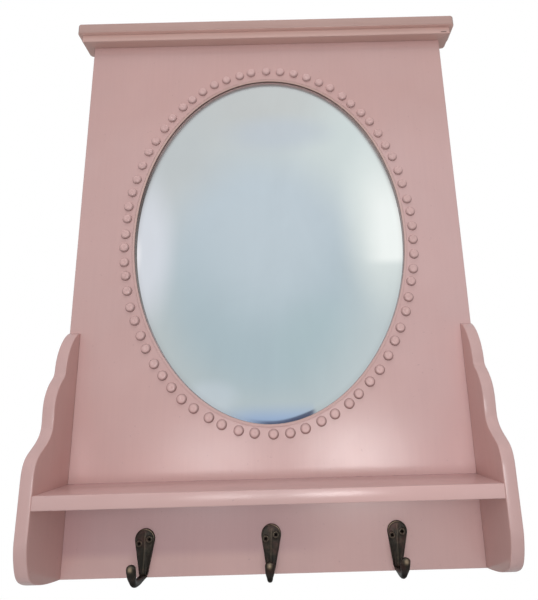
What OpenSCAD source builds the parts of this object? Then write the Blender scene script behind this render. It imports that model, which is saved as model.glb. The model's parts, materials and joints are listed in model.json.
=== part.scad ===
// Painted wall mirror with a beaded oval opening, a cornice, a small shelf
// between two scalloped brackets, and a row of double-screwed hooks below.
// Millimetres. +Z is up, the back lies on the wall plane y = 0 and the front
// looks along -Y. The origin is midway between the entry holes of the two
// hanger plates, on the wall plane. Heights named *_h or *_z in the sections
// below are counted from the bottom edge of the backboard.

/* [Backboard] */
// Width of the backboard
board_w = 440; // [430:1:450]
// Height of the backboard
board_h = 620.7; // [615:0.1:630]
// Thickness of the backboard
board_t = 15; // [15:0.5:18]

/* [Oval opening] */
// Half width of the oval opening
oval_a = 154.5; // [150:0.5:156]
// Half height of the oval opening
oval_b = 207.5; // [200:0.5:210]
// Height of the centre of the oval
oval_z = 348.5; // [346:0.5:352]
// How far the oval is drawn in towards its two lower corners, as a share of its size
oval_slack = 0.01; // [0:0.001:0.012]
// Depth from the front face to the glass
reveal = 4; // [3.5:0.5:5]
// How far the glass runs under the rim of the opening
glass_lap = 8; // [6:0.5:9]
// Thickness of the mirror glass
glass_t = 3; // [2.5:0.5:3]
// Thickness of the hardboard behind the glass
backing_t = 3; // [2.5:0.5:3]
// Width of the ledge round the glass that the turn buttons stand on
ledge_w = 24; // [22:1:25]
// Width of the plain lip round the opening, inside the routed line
lip_w = 2.6; // [2.4:0.1:3.2]
// Width of the routed line
quirk_w = 0.7; // [0.6:0.1:0.8]
// Depth of the routed line
quirk_d = 0.4; // [0.3:0.1:0.8]

/* [Beads] */
// Number of beads round the opening
bead_count = 70; // [66:1:72]
// Radius of a bead
bead_r = 5.6; // [5:0.1:5.8]
// Height of a bead above the board
bead_h = 3; // [2.5:0.1:3.5]
// Rounding of a bead's rim
bead_round = 1.7; // [1.2:0.1:2]
// Distance from the opening's edge to the middle of the bead ring, at its two sides
bead_out = 11.1; // [11:0.1:13]
// How much more than that it is above and below
bead_tall = 1.1; // [0.8:0.1:1.4]
// How far the middle of the ring sits above the middle of the opening
bead_up = 2.2; // [0:0.1:2.4]
// How far it sits to the right of the middle of the opening
bead_side = -0.6; // [-0.8:0.1:0.8]
// How far hand placing moves a bead along the ring
bead_stray = 1.6; // [0:0.1:1.8]

/* [Cornice] */
// How far the cornice board stands out past the backboard
cornice_out = 16.4; // [15:0.1:18]
// Thickness of the cornice board
cornice_t = 13.3; // [12:0.1:15]
// Rounding of the cornice board's upper edges
cornice_r = 2.5; // [1.5:0.1:3]
// How far the strip under the cornice board stands out
strip_out = 11.5; // [10:0.1:12]
// Height of that strip
strip_h = 9.2; // [8:0.1:10]

/* [Shelf and brackets] */
// Thickness of the two brackets
bracket_t = 11.9; // [11:0.1:12.5]
// Depth of the shelf in front of the backboard
shelf_d = 66.1; // [64:0.1:68]
// Thickness of the shelf
shelf_t = 12.6; // [12:0.1:13]
// Height of the shelf's top face
shelf_z = 87.6; // [86:0.1:89]

/* [Hooks] */
// Distance between neighbouring hooks
hook_pitch = 125; // [115:0.5:130]
// Sideways place of the middle hook
hook_x = -1.9; // [-3:0.1:3]
// Height of the top of a hook's plate
hook_top = 45.6; // [45.5:0.1:48]
// Height of a hook from the underside of its prong to the top of its plate
hook_h = 46.8; // [45:0.1:47]
// Radius of the plate's round head
hook_head_r = 9.9; // [9.9:0.05:10.1]
// Radius of the plate's narrow foot
hook_foot_r = 4.5; // [4.5:0.1:5]
// Thickness of the plate
hook_plate_t = 2.6; // [2.4:0.1:3]
// Thickness of the round prong
prong_d = 5; // [4.2:0.1:5]
// Reach of the prong in front of the backboard, to the middle of its knob
hook_reach = 38.5; // [37:0.5:40]
// Height of the knob's middle below the middle of the plate's head
hook_tip_z = -17.2; // [-18:0.1:-16]
// Radius of the knob
hook_knob_r = 4.3; // [4:0.1:4.5]
// Length over which the prong swells into the knob
hook_knob_h = 7; // [6:0.5:8]
// Thickness of the knob, which is flattened front and back
hook_knob_t = 5.6; // [5.2:0.1:6]

/* [Hangers] */
// Height of the entry holes of the hanger plates
hang_h = 575; // [570:1:578]
// Distance between the two hanger plates
hang_pitch = 360; // [350:1:370]
// Radius of the entry hole, which passes a wall screw's head
entry_r = 4.75; // [4.5:0.05:5]
// Half width of the slot, which holds the wall screw's shank
slot_r = 2.4; // [2.2:0.05:2.5]

/* [Turn buttons] */
// Distance from the glass rebate to a turn button's screw
button_out = 13; // [12:0.5:14]
// Length from the screw to the middle of the button's tip
button_len = 20; // [18:0.5:22]
// Thickness of a turn button
button_t = 1.2; // [1:0.05:1.2]

/* [Hidden] */

front = -board_t;                       // the backboard's front face
zb = -hang_h;                           // the backboard's bottom edge
glass_y = front + reveal;               // the glass's front face
ledge_y = glass_y + glass_t + backing_t; // the ledge, level with the hardboard's back
gap = 0.05;                             // clearance round screws and dowels
oval_n = 144;

PAINT = [0.78, 0.62, 0.60];
PAINT_2 = [0.82, 0.66, 0.64];
BRONZE = [0.25, 0.20, 0.17];
STEEL = [0.72, 0.72, 0.70];

// The points of the oval, counted from its right-hand end. Below its middle it's drawn in a little between side and bottom.
function draw_in(t) = t > 180 ? 1 - oval_slack * pow(sin(2 * t), 2) : 1;
function oval_pts(a, b) = [for (i = [0:oval_n - 1]) let (t = 360 * i / oval_n) draw_in(t) * [a * cos(t), b * sin(t)]];

// A cubic curve from p[0] to p[3], without its last point
function curve(p, n = 10) = [for (i = [0:n - 1]) let (t = i / n, u = 1 - t)
    u * u * u * p[0] + 3 * u * u * t * p[1] + 3 * u * t * t * p[2] + t * t * t * p[3]];

// An upright oval slab round the opening's centre, grown by g, from y0 to y1
module oval_slab(g, y0, y1)
    translate([0, y1, zb + oval_z]) rotate([90, 0, 0])
        linear_extrude(y1 - y0) polygon(oval_pts(oval_a + g, oval_b + g));

// A round bar along Y
module bar_y(x, z, r, y0, y1)
    translate([x, y1, z]) rotate([90, 0, 0]) cylinder(h = y1 - y0, r = r, $fn = 32);

// A tapering outline: a round end of radius r1 at the origin and one of radius r2 at [0, -d]
module taper_2d(r1, r2, d, n = 32) {
    a = asin((r1 - r2) / d);
    polygon(concat(
        [for (i = [0:n]) let (t = -a + (180 + 2 * a) * i / n) [r1 * cos(t), r1 * sin(t)]],
        [for (i = [0:n]) let (t = 180 + a + (180 - 2 * a) * i / n) [r2 * cos(t), -d + r2 * sin(t)]]));
}

// A countersunk wood screw along +Z with its head's face at z = 0. g grows it into its own hole.
module wood_screw(len, r, head_r, head_h, g = 0) {
    difference() {
        union() {
            cylinder(h = head_h, r1 = head_r + g, r2 = r + g, $fn = 32);
            if (g > 0) translate([0, 0, -1]) cylinder(h = 1.01, r = head_r + g, $fn = 32);
            translate([0, 0, head_h / 2]) cylinder(h = len - head_h / 2 - r * 1.5, r = r + g, $fn = 32);
            translate([0, 0, len - r * 1.5]) cylinder(h = r * 1.5 + g, r1 = r + g, r2 = 0.25, $fn = 32);
        }
        if (g == 0) for (a = [0, 90]) rotate([0, 0, a + 20])
            translate([-head_r * 0.55, -0.35, -0.01]) cube([head_r * 1.1, 0.7, head_h * 0.55]);
    }
}

// The fastenings' places -------------------------------------------------
shelf_mid = shelf_z - shelf_t / 2;
bracket_x = board_w / 2 - bracket_t / 2;
strip_z = board_h - strip_h;

module at_shelf_screws() for (x = [-140, 0, 140])
    translate([x, 0, zb + shelf_mid]) rotate([90, 0, 0]) children();

module at_bracket_screws() for (s = [-1, 1], z = [32, 118, 198])
    translate([s * bracket_x, 0, zb + z]) rotate([90, 0, 0]) children();

module at_cornice_screws() for (x = [-160, 0, 160])
    translate([x, -board_t / 2, zb + board_h + cornice_t]) rotate([180, 0, 0]) children();

module at_hanger_screws() for (s = [-1, 1], z = [-18.5, 20.5])
    translate([s * hang_pitch / 2, 0, z]) rotate([90, 0, 0]) children();

// The hooks were put on by eye: each has its own lean, and the left one sits lower
HOOK_LEAN = [0, 1.3, 2.9];
HOOK_LOW = [1.2, 0, 0];
module at_hook(i) translate([hook_x + (i - 1) * hook_pitch, front, zb + hook_top - HOOK_LOW[i] - hook_head_r])
    rotate([0, HOOK_LEAN[i], 0]) children();

// The two screws of a hook stand on a slant
module at_hook_screws(i) at_hook(i) for (p = [[-5.3, -3.65], [4.6, 0]])
    translate([p[0], -hook_plate_t, p[1]]) rotate([-90, 0, 0]) children();

module at_shelf_dowels() for (s = [-1, 1], d = [20, 47])
    translate([s * (board_w / 2 - bracket_t + 8), front - d, zb + shelf_mid]) rotate([0, -90 * s, 0]) children();

// The turn buttons stand at these angles round the oval, each turned towards the glass
BUTTON_AT = [90, 145, 35, 215, 325, 270];
function button_pos(t) = [(oval_a + glass_lap + button_out) * cos(t), (oval_b + glass_lap + button_out) * sin(t)];
function button_dir(t) = atan2(sin(t) / (oval_b + glass_lap + button_out), cos(t) / (oval_a + glass_lap + button_out));
module at_button(t) {
    p = button_pos(t);
    translate([p[0], 0, zb + oval_z + p[1]]) rotate([0, 90 - button_dir(t), 0]) rotate([90, 0, 0]) children();
}

// Pan-head screw of a turn button: head, then shank, along +Z from the wall plane
module button_screw(g = 0) {
    head_bottom = -ledge_y - gap - button_t - gap;
    head_top = head_bottom - 1.4;
    difference() {
        union() {
            if (g == 0) translate([0, 0, head_top]) cylinder(h = head_bottom - head_top, r = 3.6, $fn = 32);
            translate([0, 0, g == 0 ? head_bottom - 0.01 : 0]) cylinder(h = 9.5 - (g == 0 ? head_bottom - 0.01 : 0), r = 1.7 + g, $fn = 32);
            translate([0, 0, 9.5]) cylinder(h = 2.2 + g, r1 = 1.7 + g, r2 = 0.25, $fn = 32);
        }
        if (g == 0) for (a = [0, 90]) rotate([0, 0, a + 35])
            translate([-1.8, -0.3, head_top - 0.1]) cube([3.6, 0.6, 0.1 + (head_bottom - head_top) * 0.6]);
    }
}

// Pieces -----------------------------------------------------------------
module backboard() color(PAINT) difference() {
    translate([-board_w / 2, front, zb]) cube([board_w, board_t, board_h]);
    // opening, glass rebate and turn-button ledge
    oval_slab(0, front - 1, 1);
    oval_slab(glass_lap, glass_y, 1);
    oval_slab(glass_lap + ledge_w, ledge_y, 1);
    // routed line round the lip
    difference() {
        oval_slab(lip_w + quirk_w, front - 1, front + quirk_d);
        oval_slab(lip_w, front - 2, front + 1);
    }
    // pockets of the hanger plates and the room behind their keyholes
    for (s = [-1, 1]) translate([s * hang_pitch / 2, 0, 0]) {
        hanger_outline(-2, 1, gap);
        translate([-5.5, -8, -5.5]) cube([11, 9, 20]);
    }
    at_shelf_screws() wood_screw(40, 2, 4, 2.6, gap);
    at_bracket_screws() wood_screw(35, 2, 4, 2.6, gap);
    at_cornice_screws() wood_screw(40, 2, 4, 2.6, gap);
    at_hanger_screws() wood_screw(12, 1.7, 3.4, 1.9, gap);
    for (i = [0:2]) at_hook_screws(i) wood_screw(14, 1.5, 3.1, 1.8, gap);
    for (t = BUTTON_AT) at_button(t) button_screw(gap);
    at_cornice_pins() cylinder(h = 23, r = 0.7 + gap, $fn = 16);
}

// A bead is a low button with a rounded rim
module bead() rotate_extrude($fn = 32) {
    square([bead_r, bead_h - bead_round]);
    square([bead_r - bead_round, bead_h]);
    translate([bead_r - bead_round, bead_h - bead_round]) intersection() {
        circle(r = bead_round, $fn = 32);
        square(bead_round);
    }
}

// Beads at even steps of arc round the ring, clockwise from its top. The spacing
// drifts in three slow waves, and each bead is a little out of place besides.
ring_a = oval_a + bead_out;
ring_b = oval_b + bead_out + bead_tall;
ring_steps = 720;
function ring_at(i) = [ring_a * sin(i / 2), ring_b * cos(i / 2)];
ring_run = [for (i = 0, s = 0; i <= ring_steps; s = s + norm(ring_at(i + 1) - ring_at(i)), i = i + 1) s];
ring_len = ring_run[ring_steps];
function angle_at(s, i = 0) = ring_run[i + 1] >= s ? (i + (s - ring_run[i]) / (ring_run[i + 1] - ring_run[i])) / 2 : angle_at(s, i + 1);
function drift(u) = 1.2 * (cos(2 * u + 95) + cos(3 * u + 100) + cos(6 * u - 90));
function stray(i) = bead_stray * (0.55 * sin(i * 157 + 40) + 0.35 * sin(i * 83));
function stray_out(i) = 0.5 * sin(i * 101 + 15) + 0.3 * sin(i * 47);
module oval_beads() color(PAINT_2) for (i = [0:bead_count - 1]) {
    s = ring_len * i / bead_count + 16.5 + drift(360 * i / bead_count) + stray(i);
    t = angle_at(s > ring_len ? s - ring_len : s);
    o = stray_out(i);
    translate([bead_side + (ring_a + o) * sin(t), front, zb + oval_z + bead_up + (ring_b + o) * cos(t)])
        rotate([90, 0, 0]) bead();
}

module mirror_glass() color([0.80, 0.86, 0.88])
    oval_slab(glass_lap - 0.5, glass_y, glass_y + glass_t);

module mirror_backing() color([0.42, 0.30, 0.20])
    oval_slab(glass_lap - 0.5, glass_y + glass_t, ledge_y);

// A flat steel button, pivoted at its wide end and pointing at the glass
module turn_button(t) color(STEEL) at_button(t)
    translate([0, 0, -ledge_y - gap - button_t]) linear_extrude(button_t) difference() {
        taper_2d(6, 4, button_len);
        circle(r = 1.7 + gap, $fn = 32);
    }

module turn_button_screws() color(STEEL) for (t = BUTTON_AT) at_button(t) button_screw();

// The cornice board has its front and side edges rounded above and eased below
module edged(w, h, r) {
    translate([r, 0]) square([w - 2 * r, h]);
    translate([0, 1]) square([w, h - r - 1]);
    translate([r, h - r]) circle(r = r, $fn = 32);
    translate([w - r, h - r]) circle(r = r, $fn = 32);
    translate([1, 1]) circle(r = 1, $fn = 32);
    translate([w - 1, 1]) circle(r = 1, $fn = 32);
    translate([1, 0]) square([w - 2, 2]);
}
module cornice_board() color(PAINT) difference() {
    cw = board_w + 2 * cornice_out;
    cd = board_t + cornice_out;
    intersection() {
        translate([-cw / 2, 0, zb + board_h]) rotate([90, 0, 0]) linear_extrude(cd) edged(cw, cornice_t, cornice_r);
        translate([-cw / 2, -cd, zb + board_h]) rotate([90, 0, 90]) linear_extrude(cw) union() {
            edged(cd, cornice_t, cornice_r);
            translate([cd / 2, 0]) square([cd / 2, cornice_t]);
        }
    }
    at_cornice_screws() wood_screw(40, 2, 4, 2.6, gap);
}

module cornice_front_strip() color(PAINT_2) difference() {
    translate([0, 0, zb + strip_z]) linear_extrude(strip_h) polygon([
        [-board_w / 2 - strip_out, front - strip_out], [board_w / 2 + strip_out, front - strip_out],
        [board_w / 2, front], [-board_w / 2, front]]);
    at_cornice_pins() cylinder(h = 23, r = 0.7 + gap, $fn = 16);
}

module cornice_return(s) color(PAINT_2) difference() {
    translate([0, 0, zb + strip_z]) linear_extrude(strip_h) polygon([
        [s * (board_w / 2 + strip_out), front - strip_out], [s * board_w / 2, front],
        [s * board_w / 2, 0], [s * (board_w / 2 + strip_out), 0]]);
    at_cornice_pins() cylinder(h = 23, r = 0.7 + gap, $fn = 16);
}
module cornice_left_return() cornice_return(-1);
module cornice_right_return() cornice_return(1);

module cornice_screws() color(STEEL) at_cornice_screws() wood_screw(40, 2, 4, 2.6);

// Panel pins through the strips, their heads a little below the painted face
module at_cornice_pins() {
    for (x = [-190, -65, 65, 190]) translate([x, front - strip_out + 1, zb + strip_z + strip_h / 2]) rotate([-90, 0, 0]) children();
    for (s = [-1, 1]) translate([s * (board_w / 2 + strip_out - 1), -board_t / 2, zb + strip_z + strip_h / 2]) rotate([0, -90 * s, 0]) children();
}
module cornice_pins() color(STEEL) at_cornice_pins() cylinder(h = 22.5, r = 0.7, $fn = 16);

module shelf() color(PAINT_2) difference() {
    translate([-board_w / 2 + bracket_t, front - shelf_d, zb + shelf_z - shelf_t])
        cube([board_w - 2 * bracket_t, shelf_d, shelf_t]);
    at_shelf_screws() wood_screw(40, 2, 4, 2.6, gap);
    at_shelf_dowels() translate([0, 0, -0.5]) cylinder(h = 29, r = 3 + gap, $fn = 32);
}

// The bracket's outline: how far it stands out from the board, and its height
sd = shelf_d;
bracket_outline = concat(
    curve([[0, 243], [11.5, 241], [24.4, 222], [24.8, 202]], 12),
    curve([[24.8, 202], [24.8, 197], [25.4, 194.8], [29, 191.2]], 6),
    curve([[29, 191.2], [35.8, 184.5], [40.5, 175], [40.6, 163.5]], 10),
    curve([[40.6, 163.5], [40.7, 158], [39.9, 152], [40.1, 146.5]], 5),
    curve([[40.1, 146.5], [40.2, 142], [42, 137.5], [45.6, 133.4]], 6),
    curve([[45.6, 133.4], [49.5, 129], [54.5, 126], [59, 122]], 5),
    curve([[59, 122], [64.5, 117], [sd, 110], [sd, 101]], 8),
    [[sd, 101]],
    curve([[sd, 50], [sd, 42], [62, 24.5], [56.5, 18.5]], 8),
    curve([[56.5, 18.5], [50, 10.3], [31, 4.6], [0, 0]], 10),
    [[0, 0]]);

// s is -1 for the left bracket and 1 for the right one
module bracket(s) color(PAINT) difference() {
    translate([s > 0 ? board_w / 2 - bracket_t : -board_w / 2, front, zb])
        rotate([90, 0, 90]) linear_extrude(bracket_t)
            polygon([for (p = bracket_outline) [-p[0], p[1]]]);
    at_bracket_screws() wood_screw(35, 2, 4, 2.6, gap);
    at_shelf_dowels() translate([0, 0, -0.5]) cylinder(h = 29, r = 3 + gap, $fn = 32);
}
module left_bracket() bracket(-1);
module right_bracket() bracket(1);

module shelf_dowels() color([0.80, 0.66, 0.46]) at_shelf_dowels() cylinder(h = 28, r = 3, $fn = 32);

module shelf_screws() color(STEEL) at_shelf_screws() wood_screw(40, 2, 4, 2.6);
module bracket_screws() color(STEEL) at_bracket_screws() wood_screw(35, 2, 4, 2.6);

// A cast hook: a tapering plate with a stepped rim and a swelling rib, and one
// round prong that turns out from its foot, along and up to a flattened knob.
// It is drawn with the middle of its plate's head at the origin.
hook_drop = 30.2;                            // from the head's middle to the foot's
prong_r = prong_d / 2;
bend_d = hook_plate_t + 0.3;                 // the prong's middle line where it leaves the plate
bend_in = 6.7;                               // radius of the first bend
bend_z = -hook_h + hook_head_r + prong_r;    // height of the run between the bends
bend_out = hook_tip_z - bend_z - hook_knob_h;   // radius of the second bend
run_end = hook_reach - bend_out;

// A quarter bend of the prong: centre [d, z], radius and start
module prong_bend(d, z, r, a0)
    translate([0, -d, z]) rotate([90, 0, -90]) rotate([0, 0, a0])
        rotate_extrude(angle = 90, $fn = 96) translate([r, 0]) circle(r = prong_r, $fn = 32);

// Half outline of the knob: it swells from the prong to its widest, then closes over
knob_half = concat(
    [[0, 0], [prong_r, 0]],
    curve([[prong_r, 0.01], [prong_r + 0.2, hook_knob_h * 0.45], [hook_knob_r, hook_knob_h * 0.5], [hook_knob_r, hook_knob_h]], 6),
    [for (a = [0:16:80]) [hook_knob_r * cos(a), hook_knob_h + hook_knob_r * sin(a)]],
    [[0, hook_knob_h + hook_knob_r * sin(80)]]);

module hook_cast() {
    rotate([90, 0, 0]) linear_extrude(hook_plate_t * 0.6) taper_2d(hook_head_r, hook_foot_r, hook_drop);
    rotate([90, 0, 0]) linear_extrude(hook_plate_t) taper_2d(hook_head_r - 0.9, hook_foot_r - 0.9, hook_drop);
    // rib down the middle of the plate, swelling into the prong
    translate([0, -bend_d, bend_z + bend_in]) rotate([0, 0, 70]) cylinder(h = 25, r1 = prong_r, r2 = 0.5, $fn = 32);
    prong_bend(bend_d + bend_in, bend_z + bend_in, bend_in, 180);
    translate([0, -bend_d - bend_in, bend_z]) rotate([90, 0, 0])
        cylinder(h = run_end - bend_d - bend_in, r = prong_r, $fn = 32);
    prong_bend(run_end, bend_z + bend_out, bend_out, 270);
    intersection() {
        translate([0, -hook_reach, bend_z + bend_out]) rotate_extrude($fn = 48) polygon(knob_half);
        translate([-10, -hook_reach - hook_knob_t / 2, bend_z + bend_out - 1]) cube([20, hook_knob_t, 30]);
    }
}
module hook(i) color(BRONZE) difference() {
    at_hook(i) hook_cast();
    at_hook_screws(i) wood_screw(14, 1.5, 3.1, 1.8, gap);
}
module left_hook() hook(0);
module middle_hook() hook(1);
module right_hook() hook(2);
module hook_screws() color(BRONZE) for (i = [0:2]) at_hook_screws(i) wood_screw(14, 1.5, 3.1, 1.8);

// A keyhole hanger plate, let in flush with the back
module hanger_outline(y0, y1, g = 0)
    translate([0, y1, 1]) rotate([90, 0, 0]) linear_extrude(y1 - y0) {
        square([16 + 2 * g, 34], center = true);
        for (z = [-17, 17]) translate([0, z]) circle(r = 8 + g, $fn = 48);
    }
module hanger_plate(s) color(STEEL) difference() {
    translate([s * hang_pitch / 2, 0, 0]) difference() {
        hanger_outline(-2, 0);
        bar_y(0, 0, entry_r, -3, 1);
        bar_y(0, 10.5, slot_r, -3, 1);
        translate([-slot_r, -3, 0]) cube([2 * slot_r, 4, 10.5]);
    }
    at_hanger_screws() wood_screw(12, 1.7, 3.4, 1.9, gap);
}
module left_hanger_plate() hanger_plate(-1);
module right_hanger_plate() hanger_plate(1);
module hanger_screws() color(STEEL) at_hanger_screws() wood_screw(12, 1.7, 3.4, 1.9);

backboard();
oval_beads();
mirror_glass();
mirror_backing();
turn_button(BUTTON_AT[0]);  // turn_button_top
turn_button(BUTTON_AT[1]);  // turn_button_upper_left
turn_button(BUTTON_AT[2]);  // turn_button_upper_right
turn_button(BUTTON_AT[3]);  // turn_button_lower_left
turn_button(BUTTON_AT[4]);  // turn_button_lower_right
turn_button(BUTTON_AT[5]);  // turn_button_bottom
turn_button_screws();
cornice_board();
cornice_front_strip();
cornice_left_return();
cornice_right_return();
cornice_screws();
cornice_pins();
shelf();
left_bracket();
right_bracket();
shelf_dowels();
shelf_screws();
bracket_screws();
left_hook();
middle_hook();
right_hook();
hook_screws();
left_hanger_plate();
right_hanger_plate();
hanger_screws();
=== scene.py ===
import json
import math

import bmesh
import bpy
from mathutils import Matrix, Vector, noise


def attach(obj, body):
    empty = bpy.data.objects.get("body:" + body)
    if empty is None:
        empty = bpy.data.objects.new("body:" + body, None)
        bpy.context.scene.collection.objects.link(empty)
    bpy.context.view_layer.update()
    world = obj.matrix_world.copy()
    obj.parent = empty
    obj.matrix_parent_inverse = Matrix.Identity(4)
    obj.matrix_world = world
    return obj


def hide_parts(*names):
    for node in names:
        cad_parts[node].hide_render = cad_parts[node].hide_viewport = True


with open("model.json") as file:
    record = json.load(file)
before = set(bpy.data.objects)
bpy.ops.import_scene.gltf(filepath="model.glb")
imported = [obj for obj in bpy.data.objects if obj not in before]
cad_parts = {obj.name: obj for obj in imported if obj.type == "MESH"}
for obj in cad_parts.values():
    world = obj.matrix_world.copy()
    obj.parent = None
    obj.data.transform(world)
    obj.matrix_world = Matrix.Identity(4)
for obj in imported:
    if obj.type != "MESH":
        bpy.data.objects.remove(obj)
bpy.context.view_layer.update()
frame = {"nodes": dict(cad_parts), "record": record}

scene = bpy.context.scene
MM = 0.001

# ---------------------------------------------------------------------------
# Sizes, in millimetres, as in the construction. Heights are above the bottom
# edge of the backboard; ZB moves them to the row frame.
ZB = -575.0
BOARD_W, BOARD_H, BOARD_T = 440.0, 620.7, 15.0
FRONT = -BOARD_T
OVAL_A, OVAL_B, OVAL_Z = 154.5, 207.5, 348.5
OVAL_SLACK = 0.01
REVEAL, LIP = 4.0, 2.6
BEADS, BEAD_R, BEAD_H, BEAD_STRAY = 70, 5.6, 3.0, 1.6
BEAD_OUT, BEAD_TALL, BEAD_UP, BEAD_SIDE = 11.1, 1.1, 2.2, -0.6
CORNICE_OUT, CORNICE_T = 16.4, 13.3
STRIP_OUT, STRIP_H = 11.5, 9.2
BRACKET_T, SHELF_D, SHELF_T, SHELF_Z = 11.9, 66.1, 12.6, 87.6
HOOK_PITCH, HOOK_X, HOOK_TOP, HEAD_R, FOOT_R, HOOK_DROP = 125.0, -1.9, 45.5, 9.8, 4.4, 30.2
HOOK_LEAN, HOOK_LOW = (0.0, 1.3, 2.9), (1.2, 0.0, 0.0)


def row(x, y, z):
    """Millimetres in the row frame to metres."""
    return Vector((x * MM, y * MM, z * MM))


# ---------------------------------------------------------------------------
# Camera at the photograph's viewing angle
def make_camera():
    p, y, r = math.radians(13.29), math.radians(-0.19), math.radians(-1.53)
    m = Matrix.Rotation(y, 3, "Z") @ Matrix.Rotation(p, 3, "X")
    right, fwd, up = m @ Vector((1, 0, 0)), m @ Vector((0, 1, 0)), m @ Vector((0, 0, 1))
    right2 = math.cos(r) * right + math.sin(r) * up
    up2 = -math.sin(r) * right + math.cos(r) * up
    cam = bpy.data.cameras.new("camera")
    cam.sensor_width = 36.0
    cam.lens = 459.4 / 600 * 36
    cam.shift_x = -28.2 / 600
    cam.shift_y = -0.5 / 600
    cam.clip_start, cam.clip_end = 0.01, 50
    obj = bpy.data.objects.new("camera", cam)
    scene.collection.objects.link(obj)
    basis = Matrix((right2, up2, -fwd)).transposed().to_4x4()
    obj.matrix_world = Matrix.Translation(row(28.4, -497.9 + FRONT, 156.9 + ZB)) @ basis
    scene.camera = obj
    return obj


make_camera()
scene.view_settings.view_transform = "Standard"
scene.view_settings.look = "None"


# ---------------------------------------------------------------------------
# Node helpers
class Tree:
    """A short way to wire shader nodes."""

    def __init__(self, tree):
        self.t = tree
        tree.nodes.clear()

    def n(self, kind, **props):
        ins = props.pop("ins", {})
        node = self.t.nodes.new(kind)
        for k, v in props.items():
            setattr(node, k, v)
        for k, v in ins.items():
            if isinstance(v, bpy.types.NodeSocket):
                self.t.links.new(v, node.inputs[k])
            else:
                node.inputs[k].default_value = v
        return node

    def math(self, op, a, b=None, clamp=False):
        node = self.n("ShaderNodeMath", operation=op, use_clamp=clamp)
        for i, v in enumerate((a, b)):
            if v is None:
                continue
            if isinstance(v, bpy.types.NodeSocket):
                self.t.links.new(v, node.inputs[i])
            else:
                node.inputs[i].default_value = v
        return node.outputs[0]

    def ramp(self, fac, stops, interpolation="LINEAR"):
        node = self.n("ShaderNodeValToRGB", ins={"Fac": fac})
        cr = node.color_ramp
        cr.interpolation = interpolation
        while len(cr.elements) > 1:
            cr.elements.remove(cr.elements[-1])
        cr.elements[0].position = stops[0][0]
        cr.elements[0].color = _rgba(stops[0][1])
        for pos, col in stops[1:]:
            e = cr.elements.new(pos)
            e.color = _rgba(col)
        return node.outputs["Color"]

    def mix(self, fac, a, b, blend="MIX"):
        node = self.n("ShaderNodeMix", data_type="RGBA", blend_type=blend)
        for name, v in (("Factor", fac), ("A", a), ("B", b)):
            sock = [s for s in node.inputs if s.name == name and (s.type == "RGBA" or name == "Factor" and s.type == "VALUE")][0]
            if isinstance(v, bpy.types.NodeSocket):
                self.t.links.new(v, sock)
            else:
                sock.default_value = v if name == "Factor" else _rgba(v)
        return [s for s in node.outputs if s.type == "RGBA"][0]

    def noise(self, vec, scale, detail=2.0, rough=0.5, distortion=0.0):
        return self.n("ShaderNodeTexNoise", ins={"Vector": vec, "Scale": scale, "Detail": detail, "Roughness": rough,
                                                 "Distortion": distortion}).outputs["Fac"]

    def step(self, value, a, b, low=0.0, high=1.0):
        """low up to a, high from b on, and smooth between, with a < b."""
        return self.n("ShaderNodeMapRange", interpolation_type="SMOOTHSTEP", clamp=True,
                      ins={"Value": value, "From Min": a, "From Max": b, "To Min": low, "To Max": high}).outputs[0]

    def times(self, *values):
        out = values[0]
        for v in values[1:]:
            out = self.math("MULTIPLY", out, v)
        return out

    def stretched(self, vec, scale, offset=(0, 0, 0)):
        return self.n("ShaderNodeMapping", ins={"Vector": vec, "Scale": scale, "Location": offset}).outputs[0]


def _rgba(c):
    if isinstance(c, (int, float)):
        return (c, c, c, 1.0)
    return tuple(c) if len(c) == 4 else (*c, 1.0)


def lin(r, g, b):
    """sRGB 0..255 to linear."""
    def f(v):
        v /= 255
        return v / 12.92 if v <= 0.04045 else ((v + 0.055) / 1.055) ** 2.4
    return (f(r), f(g), f(b))


def scaled(c, k):
    return tuple(min(1.0, v * k) for v in c)


def rim_distance(t, co):
    """Metres outwards from the edge of the oval opening, and how far up its ring a point is, from -1 to 1, on the board's coordinates."""
    x, _, z = t.n("ShaderNodeSeparateXYZ", ins={0: co}).outputs
    z = t.math("SUBTRACT", z, (ZB + OVAL_Z) * MM)
    u, v = t.math("DIVIDE", x, OVAL_A * MM), t.math("DIVIDE", z, OVAL_B * MM)
    # below its middle the oval is drawn in a little between side and bottom
    twice = t.math("DIVIDE", t.math("MULTIPLY", t.math("MULTIPLY", u, v), 2.0), t.math("ADD", t.math("MULTIPLY", u, u), t.math("MULTIPLY", v, v)))
    k = t.math("SUBTRACT", 1.0, t.math("MULTIPLY", t.math("MULTIPLY", twice, twice), t.step(v, -0.01, 0.0, OVAL_SLACK, 0.0)))
    u, v = t.math("DIVIDE", u, k), t.math("DIVIDE", v, k)
    f = t.math("SQRT", t.math("ADD", t.math("MULTIPLY", u, u), t.math("MULTIPLY", v, v)))
    u2, v2 = t.math("DIVIDE", u, OVAL_A * MM), t.math("DIVIDE", v, OVAL_B * MM)
    g = t.math("SQRT", t.math("ADD", t.math("MULTIPLY", u2, u2), t.math("MULTIPLY", v2, v2)))
    d = t.math("DIVIDE", t.math("MULTIPLY", t.math("SUBTRACT", f, 1.0), f), g)
    return d, t.math("DIVIDE", v, f), t.math("DIVIDE", u, f)


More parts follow.
